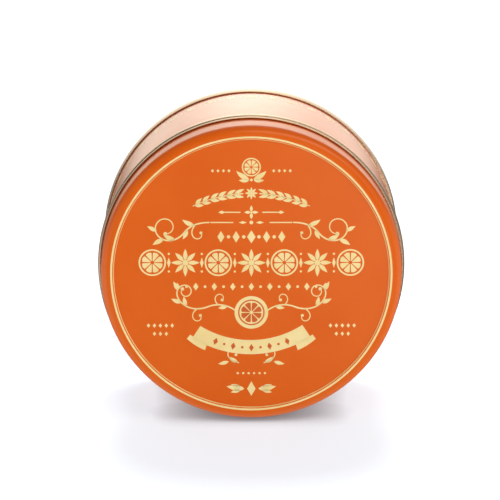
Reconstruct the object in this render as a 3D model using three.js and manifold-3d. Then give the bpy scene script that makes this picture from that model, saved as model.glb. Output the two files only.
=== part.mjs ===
// A closed round cake tin, standing on its edge with the lid facing the viewer.
//
// Millimetres, +Z up, +X to the viewer's right, +Y from the lid towards the base. The origin is on the
// surface that the tin stands on, below the middle of the tin.
//
// Three pieces, all turned round the tin's own axis: the slip lid with its rolled edge, the drum of the
// wall, and the base with the seam that joins it to the wall. The rolled edge is a little wider than the
// seam, so a tin on its edge leans back by a degree and a half, and a small flat spot under each of the
// two keeps it from rolling.

import * as THREE from 'three';
import { mergeVertices } from 'three/addons/utils/BufferGeometryUtils.js';
import Module from 'manifold-3d';

// Driving dimensions

const TIN_DEPTH = 77; // from the front of the lid to the back of the seam
const CURL_RADIUS = 65; // the lid's rolled edge, the widest part
const SKIRT_RADIUS = 63.5; // outside of the lid's skirt
const WALL_RADIUS = 62.3; // outside of the wall
const SEAM_RADIUS = 63.4; // outside of the seam round the base
const LID_HEIGHT = 19.3; // from the front of the lid to the back of its rolled edge
const SHEET = 0.9; // wall thickness of the lid as modelled
const GAP = 0.3; // clearance between two pieces that touch
const FLAT_DEPTH = 0.35; // how much the flat spots take off
const SEGMENTS = 96; // facets round the axis

// Lid

const SHOULDER = 4; // rounding between the lid's face and its skirt
const ROLL_START = 15.4; // front of the edge's roll, which reaches back along the skirt
const ROLL_FRONT_RADIUS = 64.15; // outside of the roll there; it is widest near its other end
const ROLL_SLIT = 0.25; // between the roll and the skirt
const ROLL_INNER_ROUNDING = 0.1;
const ROLL_OUTER_ROUNDING = 0.15;
const PANEL_RADIUS = 57.9; // the flat panel, pressed in a little
const PANEL_STEP = 0.35; // width of the steep slope round the panel
const PANEL_RECESS = 0.6; // how far the edge of the panel lies behind the rim of the face
const PANEL_BOW = 0.7; // how far the middle of the panel bows out from there

// Base

const SEAM_HEIGHT = 3.8;
const SEAM_WIDTH = 2.8; // across the seam, from its outside to the side of the recess
const SEAM_LIP = 0.5; // how far the seam's front stands off the wall, before its side rises on at a slant
const SEAM_FRONT = 0.1; // rounding at the lip
const SEAM_CREST = 0.3; // length of the widest part
const SEAM_REAR = 0.5; // rounding at the back of the seam
const SEAM_INNER = 0.8; // rounding towards the recess
const BASE_SHEET = 0.9;
const BASE_RECESS = 2.8; // the end panel lies this far in from the back of the seam
const RING_RADIUS = 51; // middle of the stiffening ring pressed into the end panel
const RING_WIDTH = 4;
const RING_HEIGHT = 0.5;
const RING_SLOPE = 0.8;

// Worked out from the above

const CURL_TUBE = (CURL_RADIUS - SKIRT_RADIUS + SHEET) / 2; // radius of the turn at the edge
const CURL_CENTRE = CURL_RADIUS - CURL_TUBE;
const CURL_PLACE = LID_HEIGHT - CURL_TUBE;
const SEAM_START = TIN_DEPTH - SEAM_HEIGHT;
const BASE_PANEL = TIN_DEPTH - BASE_RECESS;
const UNDERSIDE = PANEL_RECESS + SHEET;
const DRUM_START = UNDERSIDE + GAP;
const DRUM_END = BASE_PANEL - BASE_SHEET - GAP;
const SEAM_PLACE = TIN_DEPTH - SEAM_REAR - SEAM_CREST / 2;
const LEAN = Math.atan((CURL_RADIUS - SEAM_RADIUS) / (SEAM_PLACE - CURL_PLACE));

// A profile's points are (radius, depth behind the lid's face).
const point = (radius, depth) => new THREE.Vector2(radius, depth);

// Points of an arc in the profile, from one angle to the other, ends included. Angle 0 points away from the
// axis, 90 degrees towards the base.
function arc(radius, depth, from, to, steps, size) {
  const points = [];
  for (let i = 0; i <= steps; i++) {
    const angle = THREE.MathUtils.degToRad(from + ((to - from) * i) / steps);
    points.push(point(radius + size * Math.cos(angle), depth + size * Math.sin(angle)));
  }
  return points;
}

// The panel of the lid from the middle to its edge, a shallow bow.
function panel(steps) {
  const points = [];
  for (let i = 0; i <= steps; i++) {
    const share = i / steps;
    points.push(point(PANEL_RADIUS * share, PANEL_RECESS - PANEL_BOW * (1 - share ** 2)));
  }
  return points;
}

// Turns a profile round the tin's axis, with the middle of the tin at the origin. The profile runs from the
// axis to the axis, out over the front and back over the rear.
function turned(profile) {
  const centred = profile.map((p) => point(p.x, p.y - TIN_DEPTH / 2));
  const lathe = new THREE.LatheGeometry(centred, SEGMENTS);
  lathe.deleteAttribute('normal');
  lathe.deleteAttribute('uv');
  return mergeVertices(lathe);
}

function lidProfile() {
  const inside = SKIRT_RADIUS - SHEET;
  const face = [...panel(4), point(PANEL_RADIUS + PANEL_STEP, 0)];
  const shoulder = arc(SKIRT_RADIUS - SHOULDER, SHOULDER, -90, 0, 6, SHOULDER);
  const rollInside = SKIRT_RADIUS + ROLL_SLIT;
  const rollInner = ROLL_INNER_ROUNDING;
  const rollOuter = ROLL_OUTER_ROUNDING;
  const roll = [
    point(SKIRT_RADIUS, CURL_PLACE),
    point(rollInside, CURL_PLACE),
    ...arc(rollInside + rollInner, ROLL_START + rollInner, 180, 270, 2, rollInner),
    ...arc(ROLL_FRONT_RADIUS - rollOuter, ROLL_START + rollOuter, -90, 0, 3, rollOuter),
    ...arc(CURL_CENTRE, CURL_PLACE, 0, 180, 8, CURL_TUBE),
  ];
  const corner = SHOULDER - SHEET;
  const hollow = arc(inside - corner, UNDERSIDE + corner, 0, -90, 6, corner);
  return [...face, ...shoulder, ...roll, ...hollow, point(0, UNDERSIDE)];
}

function drumProfile() {
  const edge = SHOULDER - SHEET - GAP;
  return [
    point(0, DRUM_START),
    ...arc(WALL_RADIUS - edge, DRUM_START + edge, -90, 0, 6, edge),
    point(WALL_RADIUS, DRUM_END),
    point(0, DRUM_END),
  ];
}

function baseProfile() {
  const recess = SEAM_RADIUS - SEAM_WIDTH;
  const inner = recess + SEAM_INNER;
  const front = DRUM_END + GAP;
  const ringOuter = RING_RADIUS + RING_WIDTH / 2;
  const ringInner = RING_RADIUS - RING_WIDTH / 2;
  return [
    point(0, front),
    point(WALL_RADIUS, front),
    point(WALL_RADIUS, SEAM_START),
    ...arc(WALL_RADIUS + SEAM_LIP - SEAM_FRONT, SEAM_START + SEAM_FRONT, -90, 0, 2, SEAM_FRONT),
    point(SEAM_RADIUS, TIN_DEPTH - SEAM_REAR - SEAM_CREST),
    ...arc(SEAM_RADIUS - SEAM_REAR, TIN_DEPTH - SEAM_REAR, 0, 90, 4, SEAM_REAR),
    ...arc(inner, TIN_DEPTH - SEAM_INNER, 90, 180, 3, SEAM_INNER),
    point(recess, BASE_PANEL),
    point(ringOuter + RING_SLOPE, BASE_PANEL),
    point(ringOuter, BASE_PANEL + RING_HEIGHT),
    point(ringInner, BASE_PANEL + RING_HEIGHT),
    point(ringInner - RING_SLOPE, BASE_PANEL),
    point(0, BASE_PANEL),
  ];
}

// The tin leans back about its middle until the rolled edge and the seam both reach the floor. The floor
// then rises by the depth of the flat spots.
const tin = new THREE.Group();
tin.rotation.x = -LEAN;
const curlBelow = CURL_CENTRE * Math.cos(LEAN) + CURL_TUBE + (CURL_PLACE - TIN_DEPTH / 2) * Math.sin(LEAN);
tin.position.z = curlBelow - FLAT_DEPTH;
tin.updateMatrixWorld();

const wasm = await Module();
wasm.setup();

function toSolid(geometry) {
  return new wasm.Manifold(
    new wasm.Mesh({
      numProp: 3,
      vertProperties: new Float32Array(geometry.attributes.position.array),
      triVerts: new Uint32Array(geometry.index.array),
    }),
  );
}

function toGeometry(solid) {
  const mesh = solid.getMesh();
  const geometry = new THREE.BufferGeometry();
  geometry.setAttribute('position', new THREE.BufferAttribute(mesh.vertProperties, 3));
  geometry.setIndex(new THREE.BufferAttribute(mesh.triVerts, 1));
  geometry.computeVertexNormals();
  return geometry;
}

// A slab with its top on the floor, seen from the leaning tin's own frame: what it takes off leaves the
// flat spots.
const SLAB = 4 * CURL_RADIUS;
const slab = new THREE.BoxGeometry(SLAB, SLAB, SLAB).translate(0, 0, -SLAB / 2);
slab.deleteAttribute('normal');
slab.deleteAttribute('uv');
const floor = toSolid(mergeVertices(slab.applyMatrix4(tin.matrixWorld.clone().invert())));

function piece(name, profile, material) {
  const solid = toSolid(turned(profile)).subtract(floor);
  const mesh = new THREE.Mesh(toGeometry(solid), material);
  mesh.name = name;
  tin.add(mesh);
}

const orangeLacquer = new THREE.MeshStandardMaterial({ color: '#de6319', roughness: 0.25, metalness: 0 });
const wallLacquer = new THREE.MeshStandardMaterial({ color: '#d9763a', roughness: 0.25, metalness: 0 });
const tinplate = new THREE.MeshStandardMaterial({ color: '#b9ad92', roughness: 0.35, metalness: 1 });

piece('lid', lidProfile(), orangeLacquer);
piece('body', drumProfile(), wallLacquer);
piece('base', baseProfile(), tinplate);

const cakeTin = new THREE.Group();
cakeTin.add(tin);

export default cakeTin;
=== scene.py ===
"""A closed round cake tin of printed tinplate, standing on its edge with the lid towards the camera.

Lengths are written in millimetres and turned into metres where a mesh is finished. Every piece is made
round the tin's own axis first: x to the right, y from the lid to the base with the middle of the tin at 0,
z up from the axis. Then it is leaned back and lifted onto the floor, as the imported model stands.
"""
from math import atan, ceil, cos, degrees, hypot, log, pi, radians, sin, tan

import bmesh
import bpy
from mathutils import Matrix, Vector


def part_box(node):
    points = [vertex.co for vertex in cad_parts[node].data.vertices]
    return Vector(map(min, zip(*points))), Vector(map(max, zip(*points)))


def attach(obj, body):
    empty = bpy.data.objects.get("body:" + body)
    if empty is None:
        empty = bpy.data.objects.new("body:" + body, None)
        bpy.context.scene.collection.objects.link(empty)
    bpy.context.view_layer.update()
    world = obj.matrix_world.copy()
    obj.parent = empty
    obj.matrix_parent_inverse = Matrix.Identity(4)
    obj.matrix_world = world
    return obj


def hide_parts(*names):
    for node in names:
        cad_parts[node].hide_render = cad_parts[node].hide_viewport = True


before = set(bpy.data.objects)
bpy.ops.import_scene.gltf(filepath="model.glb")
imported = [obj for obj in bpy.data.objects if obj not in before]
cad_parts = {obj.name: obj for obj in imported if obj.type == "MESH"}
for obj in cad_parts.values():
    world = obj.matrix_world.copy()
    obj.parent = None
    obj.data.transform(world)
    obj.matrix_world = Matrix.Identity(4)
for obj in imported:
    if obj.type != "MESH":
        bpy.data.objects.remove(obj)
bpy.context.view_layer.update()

MM = 0.001

# Sizes of the tin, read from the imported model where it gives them

lid_low, lid_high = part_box("lid")
wall_low, wall_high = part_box("body")
base_low, base_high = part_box("base")
CURL_RADIUS = (lid_high.x - lid_low.x) / 2 / MM
WALL_RADIUS = (wall_high.x - wall_low.x) / 2 / MM
SEAM_RADIUS = (base_high.x - base_low.x) / 2 / MM
TIN_DEPTH = 77.0
SKIRT_RADIUS = 63.5
LID_HEIGHT = 19.3
SHEET = 0.9
GAP = 0.3  # between two pieces that touch
SHOULDER = 4.0  # rounding between the lid's face and its skirt
PANEL_RADIUS = 57.9
PANEL_STEP = 0.35  # width of the steep slope round the panel
PANEL_RECESS = 0.6
PANEL_BOW = 0.7  # how far the middle of the panel bows out
PANEL_ROUNDING = 0.3  # at the inner edge of the rim
SEAM_HEIGHT = 3.8
SEAM_WIDTH = 2.8
SEAM_LIP = 0.5  # how far the seam's front stands off the wall, before its side rises on at a slant
SEAM_FRONT = 0.1  # rounding at the lip
SEAM_CREST = 0.3  # length of the widest part
SEAM_REAR = 0.5  # rounding at the back
SEAM_INNER = 0.8  # rounding towards the recess
BASE_SHEET = 0.9
BASE_RECESS = 2.8  # the end panel lies this far in from the back of the seam
RECESS_ROUNDING = 0.6
RING_RADIUS = 51.0  # middle of the stiffening ring pressed into the base
RING_WIDTH = 4.0
RING_HEIGHT = 0.5
RING_SLOPE = 0.8
RING_ROUNDING = 0.5
FLAT_DEPTH = 0.35  # how much the flat spots under the rolled edge and the seam take off
ROLL_START = 15.4  # front of the edge's roll, which reaches back along the skirt
ROLL_FRONT_RADIUS = 64.15  # outside of the roll there; it is widest near its other end
ROLL_SLIT = 0.25  # between the roll and the skirt
ROLL_STEP = 17.0  # where the roll's sheet shows its cut edge as a low step, behind the face
ROLL_STEP_RADII = (64.5, 64.75)
ROLL_STEP_SLOPE = 0.1  # length of the step
ROLL_INNER_ROUNDING = 0.1
ROLL_OUTER_ROUNDING = 0.15
ROLL_CREST = 0.2  # how far the widest part reaches forward from the middle of the turn
ROLL_TURN = 1.0  # rounding of the turn, outside
ROLL_TUCK = 0.9  # rounding where the turn meets the skirt, as a share of the turn's radius

# Worked out from the sizes above

CURL_TUBE = (CURL_RADIUS - SKIRT_RADIUS + SHEET) / 2  # radius of the turn at the edge
CURL_CENTRE = CURL_RADIUS - CURL_TUBE
CURL_PLACE = LID_HEIGHT - CURL_TUBE
SEAM_START = TIN_DEPTH - SEAM_HEIGHT
BASE_PANEL = TIN_DEPTH - BASE_RECESS
DRUM_START = PANEL_RECESS + SHEET + GAP
DRUM_END = BASE_PANEL - BASE_SHEET - GAP
DRUM_ROUNDING = SHOULDER + 1  # leaves room inside the lid's shoulder
LEAN = atan((CURL_RADIUS - SEAM_RADIUS) / (TIN_DEPTH - SEAM_REAR - SEAM_CREST / 2 - CURL_PLACE))
AXIS_HEIGHT = CURL_CENTRE * cos(LEAN) + CURL_TUBE + (CURL_PLACE - TIN_DEPTH / 2) * sin(LEAN) - FLAT_DEPTH

FACETS = 256  # round the axis
MERGE = 0.0005  # points nearer than this become one
CREASE = 38  # degrees between faces from which an edge is shaded sharp
STAND = (
    Matrix.Translation((0, 0, AXIS_HEIGHT * MM))
    @ Matrix.Rotation(-LEAN, 4, "X")
    @ Matrix.Scale(MM, 4)
)


# Materials


def paint(code):
    """An sRGB hex colour as linear RGBA."""
    channels = [int(code[i:i + 2], 16) / 255 for i in (1, 3, 5)]
    linear = [c / 12.92 if c <= 0.04045 else ((c + 0.055) / 1.055) ** 2.4 for c in channels]
    return (*linear, 1.0)


def node(tree, kind, sockets=None, **settings):
    """Adds a node with its settings. A socket takes a value, or the output of another node."""
    made = tree.nodes.new(kind)
    for name, value in settings.items():
        setattr(made, name, value)
    for name, value in (sockets or {}).items():
        if isinstance(value, bpy.types.NodeSocket):
            tree.links.new(value, made.inputs[name])
        else:
            made.inputs[name].default_value = value
    return made


def new_material(name):
    """An empty material, and its tree."""
    material = bpy.data.materials.new(name)
    material.use_nodes = True
    material.node_tree.nodes.clear()
    return material, material.node_tree


def grain(tree, size, detail=2.0, stretch=(1, 1, 1)):
    """Noise whose patches are about size millimetres across, from 0 to 1, stretched along x, y and z."""
    where = node(tree, "ShaderNodeTexCoord").outputs["Object"]
    scale = [1 / (size * MM * s) for s in stretch]
    placed = node(tree, "ShaderNodeMapping", {"Vector": where, "Scale": scale}).outputs["Vector"]
    return node(tree, "ShaderNodeTexNoise", {"Vector": placed, "Scale": 1.0, "Detail": detail}).outputs["Fac"]


def between(tree, factor, low, high):
    """Turns 0 to 1 into low to high."""
    sockets = {"Value": factor, "To Min": low, "To Max": high, "From Min": 0.25, "From Max": 0.75}
    return node(tree, "ShaderNodeMapRange", sockets).outputs["Result"]


def blended(tree, factor, first, second):
    """A colour between two, by a factor."""
    mix = node(tree, "ShaderNodeMix", {"Factor": factor}, data_type="RGBA")
    mix.inputs["A"].default_value = paint(first)
    mix.inputs["B"].default_value = paint(second)
    return mix.outputs["Result"]


def varnished(weight):
    """The coat of a stoved gloss varnish."""
    return {"Coat Weight": weight, "Coat Roughness": 0.16, "Coat IOR": 1.5}


def litho_lacquer(name, varnish):
    """Orange ink printed on tinplate and stoved under a gloss varnish: an even, warm orange with clear
    reflections that waver a little, because the varnish flows out with a faint orange peel."""
    material, tree = new_material(name)
    colour = blended(tree, between(tree, grain(tree, 26), 0, 1), "#DF600C", "#E36613")
    peel = node(tree, "ShaderNodeBump", {"Height": grain(tree, 1.6), "Strength": 0.25, "Distance": 0.01 * MM})
    shader = node(tree, "ShaderNodeBsdfPrincipled", {
        "Base Color": colour,
        "Roughness": between(tree, grain(tree, 9, 3), 0.40, 0.50),
        "Normal": peel.outputs["Normal"],
        "Specular IOR Level": 0.05,
        **varnished(varnish),
    })
    node(tree, "ShaderNodeOutputMaterial", {"Surface": shader.outputs["BSDF"]})
    return material


def printing_ink(name, patch, detail, thin, thick):
    """Ink printed on the lacquer, under the same varnish. Its colour drifts between two shades in patches,
    where the ink lies thinner or thicker."""
    material, tree = new_material(name)
    shader = node(tree, "ShaderNodeBsdfPrincipled", {
        "Base Color": blended(tree, between(tree, grain(tree, patch, detail), 0, 1), thin, thick),
        "Roughness": between(tree, grain(tree, 2, 3), 0.40, 0.5),
        "Specular IOR Level": 0.2,
        **varnished(1.0),
    })
    node(tree, "ShaderNodeOutputMaterial", {"Surface": shader.outputs["BSDF"]})
    return material


def gold_ink():
    """Pale gold printing ink: flat and creamy face on, a shade deeper where it lies thicker."""
    return printing_ink("pale_gold_ink", 7, 3, "#FCE8A8", "#F5DA92")


def orange_ink():
    """The orange of the lacquer, overprinted on the gold: a little duller than the orange round it."""
    return printing_ink("overprinted_orange_ink", 4, 2, "#CF5A17", "#D9641F")


def gold_tinplate(name, dull):
    """Tinplate under a thin gold lacquer, as on the rolled edge and the base: a soft champagne metal whose
    highlights are drawn out by the fine straight grain from the mill's rolls."""
    material, tree = new_material(name)
    colour = blended(tree, between(tree, grain(tree, 34), 0, 1), "#EBD2BE", "#E2C9B4")
    rolled = grain(tree, 0.35, 2, (70, 1, 1))
    marks = node(tree, "ShaderNodeBump", {"Height": rolled, "Strength": 0.2, "Distance": 0.005 * MM})
    shader = node(tree, "ShaderNodeBsdfPrincipled", {
        "Base Color": colour,
        "Metallic": 1.0,
        "Roughness": between(tree, rolled, dull - 0.05, dull + 0.05),
        "Normal": marks.outputs["Normal"],
    })
    node(tree, "ShaderNodeOutputMaterial", {"Surface": shader.outputs["BSDF"]})
    return material


# Mesh helpers


def keep(bm, name, material):
    """Makes one piece of a finished mesh, in place, and lets it ride on the tin."""
    bmesh.ops.transform(bm, matrix=STAND, verts=bm.verts)
    mesh = bpy.data.meshes.new(name)
    bm.to_mesh(mesh)
    bm.free()
    mesh.shade_smooth()
    mesh.set_sharp_from_angle(angle=radians(CREASE))
    mesh.materials.append(material)
    piece = bpy.data.objects.new(name, mesh)
    bpy.context.scene.collection.objects.link(piece)
    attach(piece, "root")
    return piece


def rounded(corners, steps=6):
    """A profile through corners of (radius, depth, rounding), each rounded corner drawn as an arc."""
    points = []
    for i, (radius, depth, rounding) in enumerate(corners):
        if not rounding:
            points.append((radius, depth))
            continue
        here = Vector((radius, depth))
        back = (Vector(corners[i - 1][:2]) - here).normalized()
        ahead = (Vector(corners[i + 1][:2]) - here).normalized()
        half = back.angle(ahead) / 2
        centre = here + (back + ahead).normalized() * rounding / sin(half)
        start = here + back * rounding / tan(half) - centre
        end = here + ahead * rounding / tan(half) - centre
        swing = start.angle_signed(end)
        for k in range(steps + 1):
            spoke = start.copy()
            spoke.rotate(Matrix.Rotation(-swing * k / steps, 2))
            points.append(tuple(centre + spoke))
    return points


def turned(profile, closed=False):
    """Spins a profile of (radius, depth behind the face) round the tin's axis."""
    bm = bmesh.new()
    verts = [bm.verts.new((radius, depth - TIN_DEPTH / 2, 0)) for radius, depth in profile]
    edges = [bm.edges.new(pair) for pair in zip(verts, verts[1:])]
    if closed:
        edges.append(bm.edges.new((verts[-1], verts[0])))
    bmesh.ops.spin(bm, geom=verts + edges, cent=(0, 0, 0), axis=(0, 1, 0), dvec=(0, 0, 0),
                   angle=2 * pi, steps=FACETS, use_merge=True)
    bmesh.ops.remove_doubles(bm, verts=bm.verts, dist=MERGE)
    bmesh.ops.recalc_face_normals(bm, faces=bm.faces)
    return bm


def flattened(bm):
    """Cuts the flat spot under a rolled edge, where the leaning tin meets the floor."""
    floor = STAND.inverted() @ Vector((0, 0, 0))
    down = (STAND.inverted().to_3x3() @ Vector((0, 0, -1))).normalized()
    everything = bm.verts[:] + bm.edges[:] + bm.faces[:]
    bmesh.ops.bisect_plane(bm, geom=everything, plane_co=floor, plane_no=down, clear_outer=True)
    bmesh.ops.holes_fill(bm, edges=[e for e in bm.edges if e.is_boundary], sides=0)
    bmesh.ops.recalc_face_normals(bm, faces=bm.faces)
    return bm


# The tin


def bow(radius):
    """How far the panel bows outwards at a radius."""
    return PANEL_BOW * (1 - min(1, radius / PANEL_RADIUS) ** 2)


def lid_shell(material):
    """The pressed lid: panel, raised rim, rounded shoulder and skirt, with its sheet's thickness."""
    inside = SKIRT_RADIUS - SHEET
    underside = PANEL_RECESS + SHEET
    panel = [(radius, PANEL_RECESS - bow(radius), 0) for radius in range(0, round(PANEL_RADIUS), 4)]
    outline = rounded([
        *panel,
        (PANEL_RADIUS, PANEL_RECESS, 0),
        (PANEL_RADIUS + PANEL_STEP, 0, PANEL_ROUNDING),
        (SKIRT_RADIUS, 0, SHOULDER),
        (SKIRT_RADIUS, CURL_PLACE, 0),
        (inside, CURL_PLACE, 0),
        (inside, underside + SHOULDER, 0),
        (inside - SHOULDER, underside, 0),
        (0, underside, 0),
    ], 8)
    piece = keep(turned(outline), "lid_shell", material)
    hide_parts("lid")


def lid_curl(material):
    """The lid's edge, rolled outwards and back along the skirt, so that the metal's inner side shows. A
    narrow dark slit is left beside the skirt."""
    inside = SKIRT_RADIUS + ROLL_SLIT
    section = rounded([
        (CURL_CENTRE - CURL_TUBE, CURL_PLACE, 0),
        (inside, CURL_PLACE, 0),
        (inside, ROLL_START, ROLL_INNER_ROUNDING),
        (ROLL_FRONT_RADIUS, ROLL_START, ROLL_OUTER_ROUNDING),
        (ROLL_STEP_RADII[0], ROLL_STEP - ROLL_STEP_SLOPE, 0),
        (ROLL_STEP_RADII[1], ROLL_STEP, 0),
        (CURL_RADIUS, CURL_PLACE - ROLL_CREST, ROLL_TURN),
        (CURL_RADIUS, LID_HEIGHT, ROLL_TURN),
        (CURL_CENTRE - CURL_TUBE, LID_HEIGHT, CURL_TUBE * ROLL_TUCK),
        (CURL_CENTRE - CURL_TUBE, CURL_PLACE, 0),
    ], 8)[:-1]
    keep(flattened(turned(section, closed=True)), "lid_curl", material)


def wall_drum(material):
    """The wall as one closed drum, whose front end is hidden in the lid."""
    outline = rounded([
        (0, DRUM_START, 0),
        (WALL_RADIUS, DRUM_START, DRUM_ROUNDING),
        (WALL_RADIUS, DRUM_END, 0),
        (0, DRUM_END, 0),
    ], 6)
    piece = keep(turned(outline), "wall_drum", material)
    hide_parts("body")


def base_end(material):
    """The end panel with its stiffening ring, and the seam that grips the wall."""
    recess = SEAM_RADIUS - SEAM_WIDTH
    ring_outside = RING_RADIUS + RING_WIDTH / 2
    ring_inside = RING_RADIUS - RING_WIDTH / 2
    outline = rounded([
        (0, DRUM_END + GAP, 0),
        (WALL_RADIUS, DRUM_END + GAP, 0),
        (WALL_RADIUS, SEAM_START, 0),
        (WALL_RADIUS + SEAM_LIP, SEAM_START, SEAM_FRONT),
        (SEAM_RADIUS, TIN_DEPTH - SEAM_REAR - SEAM_CREST, 0),
        (SEAM_RADIUS, TIN_DEPTH, SEAM_REAR),
        (recess, TIN_DEPTH, SEAM_INNER),
        (recess, BASE_PANEL, RECESS_ROUNDING),
        (ring_outside + RING_SLOPE, BASE_PANEL, RING_ROUNDING),
        (ring_outside, BASE_PANEL + RING_HEIGHT, RING_ROUNDING),
        (ring_inside, BASE_PANEL + RING_HEIGHT, RING_ROUNDING),
        (ring_inside - RING_SLOPE, BASE_PANEL, RING_ROUNDING),
        (0, BASE_PANEL, 0),
    ], 6)
    piece = keep(flattened(turned(outline)), "base_end", material)
    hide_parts("base")


# Printed ornament. It is drawn on the lid's face, u to the right and v up from the centre, in millimetres.


INK = 0.03  # how far the ink stands proud
INK_ROOT = 0.02  # how far it reaches into what it is printed on
RIM_RING = 59.05  # middle of the gold ring on the rim
RIM_RING_WIDTH = 0.8
SLOPE_HIGHLIGHT_RING = (0.12, 0.88)  # where the painted highlight, a fine ring of gold ink, starts and ends on the slope of the panel


def sweep(start, heading, length, bend, last_bend=None, steps=24):
    """A path of (u, v, heading) from a start, whose bend goes evenly from one value to another. A bend is in
    degrees turned for each millimetre, positive to the left."""
    last_bend = bend if last_bend is None else last_bend
    u, v = start
    angle = radians(heading)
    step = length / steps
    path = [(u, v, angle)]
    for i in range(steps):
        share = (i + 0.5) / steps
        angle += radians(bend + (last_bend - bend) * share) * step
        u += cos(angle) * step
        v += sin(angle) * step
        path.append((u, v, angle))
    return path


def stroke(bm, path, width):
    """A flat ribbon bent along a path. width gives the ribbon's width at a share of its length."""
    last = len(path) - 1
    strip = bmesh.ops.create_grid(bm, x_segments=last, y_segments=1, size=0.5)["verts"]
    for vert in strip:
        place = round((vert.co.x + 0.5) * last)
        u, v, angle = path[place]
        aside = width(place / last) * (0.5 if vert.co.y > 0 else -0.5)
        vert.co = (u - sin(angle) * aside, 0, v + cos(angle) * aside)


def disc(bm, u, v, radius, segments=24, squash=1.0, turn=0.0):
    """A flat disc, or with four segments a lozenge. squash narrows it across, turn leans it to the left."""
    matrix = (
        Matrix.Translation((u, 0, v))
        @ Matrix.Rotation(radians(-turn), 4, "Y")
        @ Matrix.Diagonal((squash, 1, 1, 1))
        @ Matrix.Rotation(radians(90), 4, "X")
    )
    bmesh.ops.create_circle(bm, cap_ends=True, segments=segments, radius=radius, matrix=matrix)


def lozenge(bm, u, v, tall, wide, turn=0.0):
    """A flat lozenge, upright unless turn leans it to the left."""
    disc(bm, u, v, tall / 2, segments=4, squash=wide / tall, turn=turn)


def ring(bm, u, v, radius, width, segments=48):
    """A flat ring."""
    path = [(u + radius * cos(a), v + radius * sin(a), a + pi / 2) for a in
            (2 * pi * i / segments for i in range(segments + 1))]
    stroke(bm, path, lambda share: width)


def leaf(bm, at, heading, length, width, bend=0.0):
    """A leaf with a full belly and two pointed ends."""
    stroke(bm, sweep(at, heading, length, bend, steps=12), lambda share: width * sin(pi * share ** 0.8))


def scroll(bm, at, heading, length, bend, last_bend, width, last_width=None, ball=0.0, steps=40):
    """A tapering stem, with a ball at its end if it has one. Returns its path."""
    last_width = width * 0.5 if last_width is None else last_width
    path = sweep(at, heading, length, bend, last_bend, steps)
    stroke(bm, path, lambda share: width + (last_width - width) * share)
    if ball:
        disc(bm, path[-1][0], path[-1][1], ball, 16)
    return path


def on(path, share):
    """A point of a path and its heading in degrees."""
    u, v, angle = path[round(share * (len(path) - 1))]
    return (u, v), degrees(angle)


def leaf_on(bm, path, share, side, length, width, spread=38, bend=4.0):
    """A leaf that springs from a stem, to the left of it for side 1 and to the right for -1."""
    at, heading = on(path, share)
    leaf(bm, at, heading + side * spread, length, width, side * bend)


def mirrored(bm):
    """Adds the left half to an ornament drawn for the right."""
    copy = bmesh.ops.duplicate(bm, geom=bm.verts[:] + bm.edges[:] + bm.faces[:])["geom"]
    verts = [g for g in copy if isinstance(g, bmesh.types.BMVert)]
    bmesh.ops.scale(bm, vec=(-1, 1, 1), verts=verts)


def joined(bm, other):
    """Adds another ornament's shapes to this one."""
    spare = bpy.data.meshes.new("spare")
    other.to_mesh(spare)
    other.free()
    bm.from_mesh(spare)
    bpy.data.meshes.remove(spare)


def printed(bm, name, material, proud=INK, depth=PANEL_RECESS):
    """Gives flat ornament the thickness of its ink and lays it on the lid's face."""
    bmesh.ops.remove_doubles(bm, verts=bm.verts, dist=MERGE)
    bmesh.ops.dissolve_degenerate(bm, edges=bm.edges, dist=MERGE)
    grown = bmesh.ops.extrude_face_region(bm, geom=bm.faces[:])["geom"]
    top = [g for g in grown if isinstance(g, bmesh.types.BMVert)]
    bmesh.ops.translate(bm, verts=top, vec=(0, -proud - INK_ROOT, 0))
    for vert in bm.verts:
        vert.co.y += depth + INK_ROOT - TIN_DEPTH / 2 - bow(hypot(vert.co.x, vert.co.z))
    bmesh.ops.recalc_face_normals(bm, faces=bm.faces)
    return keep(bm, name, material)


def star(bm, u, v, size, points=8, width=0.3, hole=0.16):
    """A star of leaves round a small disc, like a pod of star anise."""
    for i in range(points):
        angle = 90 + 360 * i / points
        start = (u + hole * size * cos(radians(angle)), v + hole * size * sin(radians(angle)))
        leaf(bm, start, angle, size * (1 - hole), size * width)
    disc(bm, u, v, size * (hole + 0.04), 20)


def slice_of_orange(bm, u, v, size, segments=8, rind=0.12):
    """A round slice of an orange: its rind, and wedges that widen outwards. Core, pith and rind are shares of
    the size, and a wedge is rounded over the last part of its length."""
    core, pith, filled, last_part = 0.13, 0.1, 0.82, 0.22
    ring(bm, u, v, size * (1 - rind / 2), size * rind)
    inner, outer = core * size, size * (1 - rind) - pith * size
    for i in range(segments):
        angle = 360 * (i + 0.5) / segments
        start = (u + inner * cos(radians(angle)), v + inner * sin(radians(angle)))
        widest = 2 * outer * tan(pi / segments) * filled

        def wedge(share):
            rounding = min(1.0, (1 - share) / last_part)
            return widest * (0.1 + 0.9 * share) * (1 - (1 - rounding) ** 2) ** 0.5

        stroke(bm, sweep(start, angle, outer - inner, 0, steps=12), wedge)


def print_rings(material):
    """A gold ring printed on the rim of the face, and a finer one in gold ink on the panel's slope: a painted
    highlight.
    """
    bm = bmesh.new()
    ring(bm, 0, 0, RIM_RING, RIM_RING_WIDTH, 192)
    printed(bm, "print_ring", material, depth=0)
    slope = atan(PANEL_RECESS / PANEL_STEP)
    out, back = -INK * sin(slope), -INK * cos(slope)
    low, high = [(PANEL_RADIUS + PANEL_STEP * share, PANEL_RECESS * (1 - share)) for share in SLOPE_HIGHLIGHT_RING]
    section = [
        (low[0] + out, low[1] + back),
        (high[0] + out, high[1] + back),
        (high[0] - out, high[1] - back),
        (low[0] - out, low[1] - back),
    ]
    # painted highlight: this fine ring of gold ink stands for the light that the panel's slope catches
    keep(turned(section, closed=True), "painted_highlight_ring", material)


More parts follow.
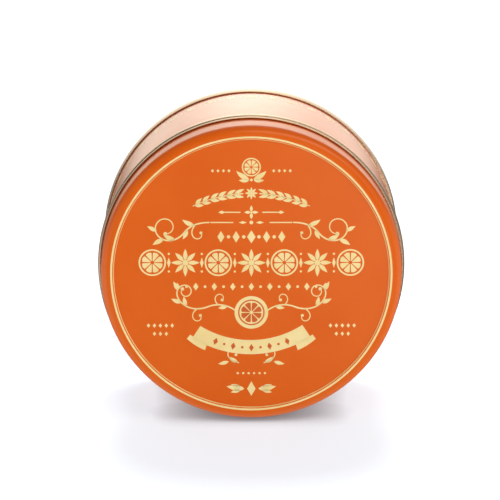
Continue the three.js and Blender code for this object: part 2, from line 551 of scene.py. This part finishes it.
def print_orange_sprig(material):
    """A slice of orange between leaves at the top, with lozenges beside it."""
    bm = bmesh.new()
    slice_of_orange(bm, 0, 46.2, 4.0, 8, 0.14)
    half = bmesh.new()
    leaf(half, (0.9, 41.0), 16, 6.6, 2.1, 5)
    leaf(half, (1.0, 40.6), -14, 4.4, 1.5, 6)
    for i in range(4):
        lozenge(half, 9.4 + 2.3 * i, 44.6, 1.5, 1.3)
    mirrored(half)
    joined(bm, half)
    lozenge(bm, 0, 40.7, 1.5, 1.5)
    printed(bm, "print_orange_sprig", material)


def print_garland(material):
    """An arched garland of leaves in pairs, meeting at a small star. The pairs are spaced in shares of the
    stem's length, and the second leaf of a pair stands a little after the first."""
    centre, radius, reach = -22.2, 57.2, 25.5
    bm = bmesh.new()
    start = radians(90 - reach)
    first = (radius * cos(start), centre + radius * sin(start))
    length = radius * radians(reach - 3.4)
    path = sweep(first, 180 - reach, length, degrees(1 / radius), steps=48)
    stroke(bm, path, lambda share: 0.3 + 0.25 * share)
    pairs, start_share, step, stagger = 6, 0.04, 0.155, 0.021
    for i in range(pairs):
        share = start_share + step * i
        size = 3.9 + 0.16 * i
        leaf_on(bm, path, share, 1, size, 1.5, 34, -5)
        leaf_on(bm, path, share + stagger, -1, size, 1.5, 34, -5)
    mirrored(bm)
    star(bm, 0, centre + radius, 2.7, 8, 0.34)
    printed(bm, "print_garland", material)


def print_rules(material):
    """Two thin rules with lozenges, and a row of lozenges and dots below them."""
    bm = bmesh.new()
    scroll(bm, (4.6, 26.8), 0, 6.6, 0, 0, 0.5, 0.5)
    lozenge(bm, 12.4, 26.8, 1.5, 3.0)
    scroll(bm, (7.6, 22.4), 0, 9.6, 0, 0, 0.5, 0.5)
    lozenge(bm, 3.6, 22.4, 1.3, 3.4)
    for i in range(2):
        lozenge(bm, 6.4 + 6.4 * i, 16.2, 5.0, 3.0)
        disc(bm, 3.2 + 6.4 * i, 16.2, 0.75, 16)
    mirrored(bm)
    star(bm, 0, 26.8, 3.0, 4, 0.42, 0.1)
    disc(bm, 0, 22.4, 0.8, 16)
    lozenge(bm, 0, 16.2, 5.6, 3.6)
    printed(bm, "print_rules", material)


def print_upper_scrolls(material):
    """A scroll at each end of the rules: a stem that dips, rises and rolls up, with leaves."""
    bm = bmesh.new()
    dip = scroll(bm, (17.6, 22.4), 0, 12, -2, -7, 0.55, 0.7)
    at, heading = on(dip, 1)
    rise = scroll(bm, at, heading, 33, 5, 20, 0.7, 0.4, 0.8)
    leaf_on(bm, dip, 0.55, 1, 5.6, 1.9, 30, 6)
    leaf_on(bm, dip, 0.85, -1, 4.6, 1.8, 40, -6)
    leaf_on(bm, rise, 0.14, 1, 5.4, 2.0, 30, 6)
    leaf_on(bm, rise, 0.3, -1, 5.2, 2.0, 34, 4)
    leaf_on(bm, rise, 0.44, -1, 4.2, 1.7, 30, 4)
    inner = on(dip, 0.5)
    scroll(bm, inner[0], inner[1] - 30, 11.5, -4, -40, 0.55, 0.4, 0.65)
    mirrored(bm)
    printed(bm, "print_upper_scrolls", material)


def print_frieze(material):
    """The broad band across the middle: slices of orange and stars of anise, parted by lozenges."""
    bm = bmesh.new()
    middle, size, pitch = 5.0, 5.8, 13.9
    for i in range(-3, 4):
        if i % 2:
            slice_of_orange(bm, i * pitch, middle, size)
        else:
            star(bm, i * pitch, middle, size * 1.04)
    for i in range(-3, 3):
        u = (i + 0.5) * pitch
        lozenge(bm, u, middle, 4.6, 1.5)
        disc(bm, u, middle + 3.8, 0.5, 12)
        disc(bm, u, middle - 3.8, 0.5, 12)
    printed(bm, "print_frieze", material)


def print_dotted_row(material):
    """A row of small lozenges and dots below the broad band."""
    bm = bmesh.new()
    for i in range(-8, 9):
        if i % 2:
            disc(bm, i * 3.9, -5.4, 0.6, 12)
        else:
            lozenge(bm, i * 3.9, -5.4, 3.4, 2.3)
    printed(bm, "print_dotted_row", material)


def print_lower_scrolls(material):
    """Waving stems that leave the medallion to both sides and roll up."""
    bm = bmesh.new()
    first = scroll(bm, (7.0, -15.6), 38, 12, -5, -5, 0.6, 0.65)
    at, heading = on(first, 1)
    second = scroll(bm, at, heading, 15, 4, 8, 0.65, 0.6)
    at, heading = on(second, 1)
    third = scroll(bm, at, heading, 19, 12, 32, 0.6, 0.4, 0.75)
    curl, turn = on(first, 0.62)
    scroll(bm, curl, turn + 38, 9.6, 12, 46, 0.5, 0.35, 0.65)
    curl, turn = on(second, 0.3)
    scroll(bm, curl, turn - 30, 10.5, -8, -44, 0.5, 0.35, 0.65)
    leaf_on(bm, second, 0.62, 1, 4.4, 1.7, 40, 4)
    leaf_on(bm, second, 0.8, -1, 4.6, 1.8, 34, -4)
    leaf_on(bm, third, 0.16, -1, 4.2, 1.6, 34, 3)
    leaf_on(bm, first, 0.3, -1, 4.0, 1.6, 40, -4)
    mirrored(bm)
    printed(bm, "print_lower_scrolls", material)


def print_medallion(gold, orange):
    """A gold disc with a slice of orange on it."""
    bm = bmesh.new()
    disc(bm, 0, -16.6, 7.1, 64)
    printed(bm, "print_medallion", gold)
    bm = bmesh.new()
    slice_of_orange(bm, 0, -16.6, 5.6, 8, 0.1)
    printed(bm, "print_medallion_slice", orange, INK * 2)


def print_banner(gold, orange):
    """A plain ribbon that hangs in a curve, its ends folded back, with a row of lozenges."""
    centre, radius, reach, broad = 10.6, 42.6, 33, 6.2
    start = radians(-90 - reach)
    length = 2 * radius * radians(reach)
    first = (radius * cos(start), centre + radius * sin(start))
    path = sweep(first, -reach, length, degrees(1 / radius), steps=60)
    bm = bmesh.new()
    stroke(bm, path, lambda share: broad)
    tails = bmesh.new()
    at, heading = on(path, 1)
    tail = sweep((at[0] - 4.2, at[1] - 6.6), heading - 16, 8.6, 2.4, steps=10)
    stroke(tails, tail, lambda share: 3.9 - 1.6 * share)
    scroll(tails, (5.2, -38.6), 8, 14, 3, 40, 0.5, 0.35, 0.6)
    leaf(tails, (5.6, -38.4), 20, 5.0, 1.7, 4)
    leaf(tails, (9.6, -38.0), -24, 4.6, 1.6, 4)
    mirrored(tails)
    joined(bm, tails)
    printed(bm, "print_banner", gold)
    bm = bmesh.new()
    for i in range(-4, 5):
        angle = radians(-90 + 5.2 * i)
        u, v = radius * cos(angle), centre + radius * sin(angle)
        if i % 2:
            disc(bm, u, v, 0.55, 12)
        else:
            lozenge(bm, u, v, 3.2, 2.0, 5.2 * i)
    printed(bm, "print_banner_marks", orange, INK * 2)


def print_side_marks(material):
    """Small rows of lozenges at both sides and at the foot of the face."""
    bm = bmesh.new()
    for i in range(5):
        lozenge(bm, 33.4 + 2.5 * i, -22.4, 1.9, 1.5)
    for i in range(3):
        lozenge(bm, 35.9 + 2.5 * i, -26.0, 1.9, 1.5)
    for i in range(3):
        disc(bm, 2.3 * (i + 0.5), -43.2, 0.5, 12)
    leaf(bm, (3.0, -50.0), 0, 7.6, 2.6, 2)
    leaf(bm, (4.4, -50.2), -28, 4.6, 1.6, 4)
    leaf(bm, (4.4, -49.8), 30, 4.6, 1.6, -4)
    mirrored(bm)
    lozenge(bm, 0, -50.0, 6.4, 3.6)
    printed(bm, "print_side_marks", material)


BORDER_DEPTH = 65.5  # middle of the wall's border, behind the face
BORDER_UNITS = 22  # a slice and a star each
BORDER_SIZE = 2.5  # radius of a slice
BORDER_LOZENGE = (2.2, 0.8)  # height and width
BORDER_CUT = 0.31  # place of the first cut past a slice's middle, so that none runs through a corner


def wall_border(material):
    """A border round the wall next to the seam: slices of orange and stars in turn. One pair is drawn flat,
    cut every millimetre so that it can bend, laid on the wall and then spun round the tin."""
    pitch = 2 * pi * WALL_RADIUS / BORDER_UNITS
    bm = bmesh.new()
    slice_of_orange(bm, 0, 0, BORDER_SIZE)
    star(bm, pitch / 2, 0, BORDER_SIZE * 1.08)
    for share in (0.25, 0.75):
        lozenge(bm, pitch * share, 0, *BORDER_LOZENGE)
    bmesh.ops.remove_doubles(bm, verts=bm.verts, dist=MERGE)
    for i in range(-ceil(BORDER_SIZE), ceil(pitch)):
        everything = bm.verts[:] + bm.edges[:] + bm.faces[:]
        bmesh.ops.bisect_plane(bm, geom=everything, plane_co=(i + BORDER_CUT, 0, 0), plane_no=(1, 0, 0))
    grown = bmesh.ops.extrude_face_region(bm, geom=bm.faces[:])["geom"]
    top = [g for g in grown if isinstance(g, bmesh.types.BMVert)]
    bmesh.ops.translate(bm, verts=top, vec=(0, INK + INK_ROOT, 0))
    for vert in bm.verts:
        angle, radius = vert.co.x / WALL_RADIUS, WALL_RADIUS + vert.co.y - INK_ROOT
        vert.co = (radius * sin(angle), BORDER_DEPTH - TIN_DEPTH / 2 - vert.co.z, radius * cos(angle))
    unit = bm.verts[:] + bm.edges[:] + bm.faces[:]
    bmesh.ops.spin(bm, geom=unit, cent=(0, 0, 0), axis=(0, 1, 0), dvec=(0, 0, 0), steps=BORDER_UNITS - 1,
                   angle=2 * pi * (BORDER_UNITS - 1) / BORDER_UNITS, use_duplicate=True)
    bmesh.ops.recalc_face_normals(bm, faces=bm.faces)
    keep(bm, "wall_border", material)


lid_lacquer = litho_lacquer("litho_orange_lid", 0.6)
wall_lacquer = litho_lacquer("litho_orange_wall", 1.0)
roll_metal = gold_tinplate("gold_lacquered_tinplate", 0.24)
seam_metal = gold_tinplate("dull_gold_lacquered_tinplate", 0.27)
gold = gold_ink()
orange = orange_ink()
lid_shell(lid_lacquer)
lid_curl(roll_metal)
wall_drum(wall_lacquer)
base_end(seam_metal)
wall_border(gold)
print_rings(gold)
print_orange_sprig(gold)
print_garland(gold)
print_rules(gold)
print_upper_scrolls(gold)
print_frieze(gold)
print_dotted_row(gold)
print_lower_scrolls(gold)
print_medallion(gold, orange)
print_banner(gold, orange)
print_side_marks(gold)


# The photo's view

PHOTO_SIZE = 500  # pixels, square
CURL_PIXELS = 154.35  # radius of the rolled edge in the photo
FACE_PIXELS = (251.35, 274.2)  # centre of the lid's face in the photo
FACE_ANGLE = 13.8  # degrees between the view and the tin's axis
CAMERA_ASIDE = -0.16  # degrees that the camera stands to the right of the tin
CAMERA_RADII = 37.8  # distance to the face, in radii of the rolled edge
SENSOR = 36.0  # width in millimetres
FOCUS = (0, 0, 0.06)  # what the soft lights face, in metres
TABLE_HALF = 6.0  # metres
TABLE_GLOW = 0.75  # strength of the glow that the table gives where no painted shade darkens it
CONTACT_PAINTED_SHADE = 14  # millimetres that the painted shade round the contact reaches
PAINTED_SHADE_FACING = {"Y": -0.6, "Z": 0.8}  # the direction in which the painted shade stays light, up and towards the camera
ROOM_GLOW = 0.04  # strength of the surroundings between the patches

# Azimuth, elevation, half width and strength of each soft patch of light round the tin
GLOWS = [
    (0, 12, 11, 2.5),
    (-17, 0, 7, 1.0),
    (17, 0, 7, 1.0),
    (-26, 14, 12, 0.9),
    (26, 14, 12, 0.9),
    (0, 36, 20, 1.3),
    (-100, 30, 26, 0.35),
    (100, 30, 26, 0.25),
    (0, 80, 20, 0.4),
    (115, 32, 14, 0.9),
    (150, 46, 16, 0.7),
    (-60, -14, 15, 1.3),
    (60, -14, 15, 1.0),
    (-105, -14, 19, 1.6),
    (100, -14, 17, 1.3),
    (171, -8, 5, 3.0),
    (0, -90, 40, 1.0),
]


def photo_camera():
    """The photo's camera: a long lens, a little above the tin's axis and all but in front of it."""
    distance = CAMERA_RADII * CURL_RADIUS * MM
    azimuth, elevation = radians(CAMERA_ASIDE), radians(FACE_ANGLE) + LEAN
    back = Vector((sin(azimuth) * cos(elevation), -cos(azimuth) * cos(elevation), sin(elevation)))
    facing = (-back).to_track_quat("-Z", "Y")
    pixel = CURL_RADIUS * MM / CURL_PIXELS
    across = facing @ Vector((1, 0, 0)) * (PHOTO_SIZE / 2 - FACE_PIXELS[0]) * pixel
    upward = facing @ Vector((0, 1, 0)) * (FACE_PIXELS[1] - PHOTO_SIZE / 2) * pixel
    face = STAND @ Vector((0, -TIN_DEPTH / 2, 0))
    data = bpy.data.cameras.new("camera")
    data.sensor_width = SENSOR
    data.lens = SENSOR * CURL_PIXELS / PHOTO_SIZE * CAMERA_RADII
    data.clip_end = 100
    camera = bpy.data.objects.new("camera", data)
    camera.rotation_mode = "QUATERNION"
    camera.rotation_quaternion = facing
    camera.location = face + across + upward + back * distance
    bpy.context.scene.collection.objects.link(camera)
    bpy.context.scene.camera = camera


def softbox(name, place, aim, size, power, glossy=True, colour="#FFFFFF"):
    """A rectangular light that faces a point and doesn't show itself to the camera."""
    data = bpy.data.lights.new(name, "AREA")
    data.shape = "RECTANGLE"
    data.size, data.size_y = size
    data.energy = power
    data.color = paint(colour)[:3]
    light = bpy.data.objects.new(name, data)
    light.location = place
    light.rotation_mode = "QUATERNION"
    light.rotation_quaternion = (Vector(aim) - Vector(place)).to_track_quat("-Z", "Y")
    light.visible_camera = False
    light.visible_glossy = glossy
    bpy.context.scene.collection.objects.link(light)
    return light


def glow(tree, where, azimuth, elevation, width, strength):
    """A soft patch of light in the surroundings, at half its strength width degrees off its middle. Azimuth 0
    lies behind the tin and 90 to its right."""
    a, e = radians(azimuth), radians(elevation)
    middle = (sin(a) * cos(e), cos(a) * cos(e), sin(e))
    near = node(tree, "ShaderNodeVectorMath", {0: where, 1: middle}, operation="DOT_PRODUCT").outputs["Value"]
    front = node(tree, "ShaderNodeMath", {0: near, 1: 0.0}, operation="MAXIMUM").outputs["Value"]
    fall = node(tree, "ShaderNodeMath", {0: front, 1: log(0.5) / log(cos(radians(width)))}, operation="POWER")
    fallen = fall.outputs["Value"]
    return node(tree, "ShaderNodeMath", {0: fallen, 1: strength}, operation="MULTIPLY").outputs["Value"]


def surroundings():
    """What the glossy tin mirrors: a dark room in front, a bright backdrop behind, and a pale table below."""
    world = bpy.data.worlds.new("studio")
    bpy.context.scene.world = world
    world.use_nodes = True
    tree = world.node_tree
    tree.nodes.clear()
    where = node(tree, "ShaderNodeTexCoord").outputs["Generated"]
    total = node(tree, "ShaderNodeValue").outputs["Value"]
    total.default_value = ROOM_GLOW
    for azimuth, elevation, width, strength in GLOWS:
        patch = glow(tree, where, azimuth, elevation, width, strength)
        total = node(tree, "ShaderNodeMath", {0: total, 1: patch}, operation="ADD").outputs["Value"]
    sky = node(tree, "ShaderNodeBackground", {"Color": paint("#FCF6E4"), "Strength": total})
    node(tree, "ShaderNodeOutputWorld", {"Surface": sky.outputs["Background"]})


def studio():
    """A light table of white acrylic, a soft light above the camera, a second one in front to fill, and a
    third behind that falls on the table alone."""
    material, tree = new_material("white_acrylic")
    # Painted shade: an ambient occlusion node darkens the table's glow round where the tin stands, leaned so
    # that it stays light towards the camera
    painted_shade_leaning = node(tree, "ShaderNodeCombineXYZ", PAINTED_SHADE_FACING).outputs["Vector"]
    sockets = {"Distance": CONTACT_PAINTED_SHADE * MM, "Normal": painted_shade_leaning}
    painted_contact_shade = node(tree, "ShaderNodeAmbientOcclusion", sockets, samples=16).outputs["AO"]
    # the table's glow with the painted shade taken out of it
    light = node(tree, "ShaderNodeMath", {0: painted_contact_shade, 1: TABLE_GLOW}, operation="MULTIPLY").outputs["Value"]
    shader = node(tree, "ShaderNodeBsdfPrincipled", {
        "Base Color": paint("#878F9C"),
        "Roughness": 0.6,
        "Specular IOR Level": 0.1,
        "Emission Color": paint("#F2F7FF"),
        "Emission Strength": light,
    })
    node(tree, "ShaderNodeOutputMaterial", {"Surface": shader.outputs["BSDF"]})
    bm = bmesh.new()
    bmesh.ops.create_grid(bm, x_segments=1, y_segments=1, size=TABLE_HALF)
    mesh = bpy.data.meshes.new("floor")
    bm.to_mesh(mesh)
    bm.free()
    mesh.materials.append(material)
    floor = bpy.data.objects.new("floor", mesh)
    floor.visible_glossy = False
    bpy.context.scene.collection.objects.link(floor)
    surroundings()
    softbox("above_camera", (0.5, -0.75, 1.25), FOCUS, (1.5, 0.6), 7, colour="#FFE0BE")
    softbox("fill", (0.1, -2.3, 0.5), FOCUS, (1.6, 1.0), 12.5, glossy=False)
    table_light = softbox("table_light", (0, 0.85, 1.15), (0, -0.1, 0), (0.6, 0.45), 34, glossy=False)
    table = bpy.data.collections.new("table")
    table.objects.link(floor)
    table_light.light_linking.receiver_collection = table


photo_camera()
studio()
bpy.context.scene.view_settings.view_transform = "Standard"
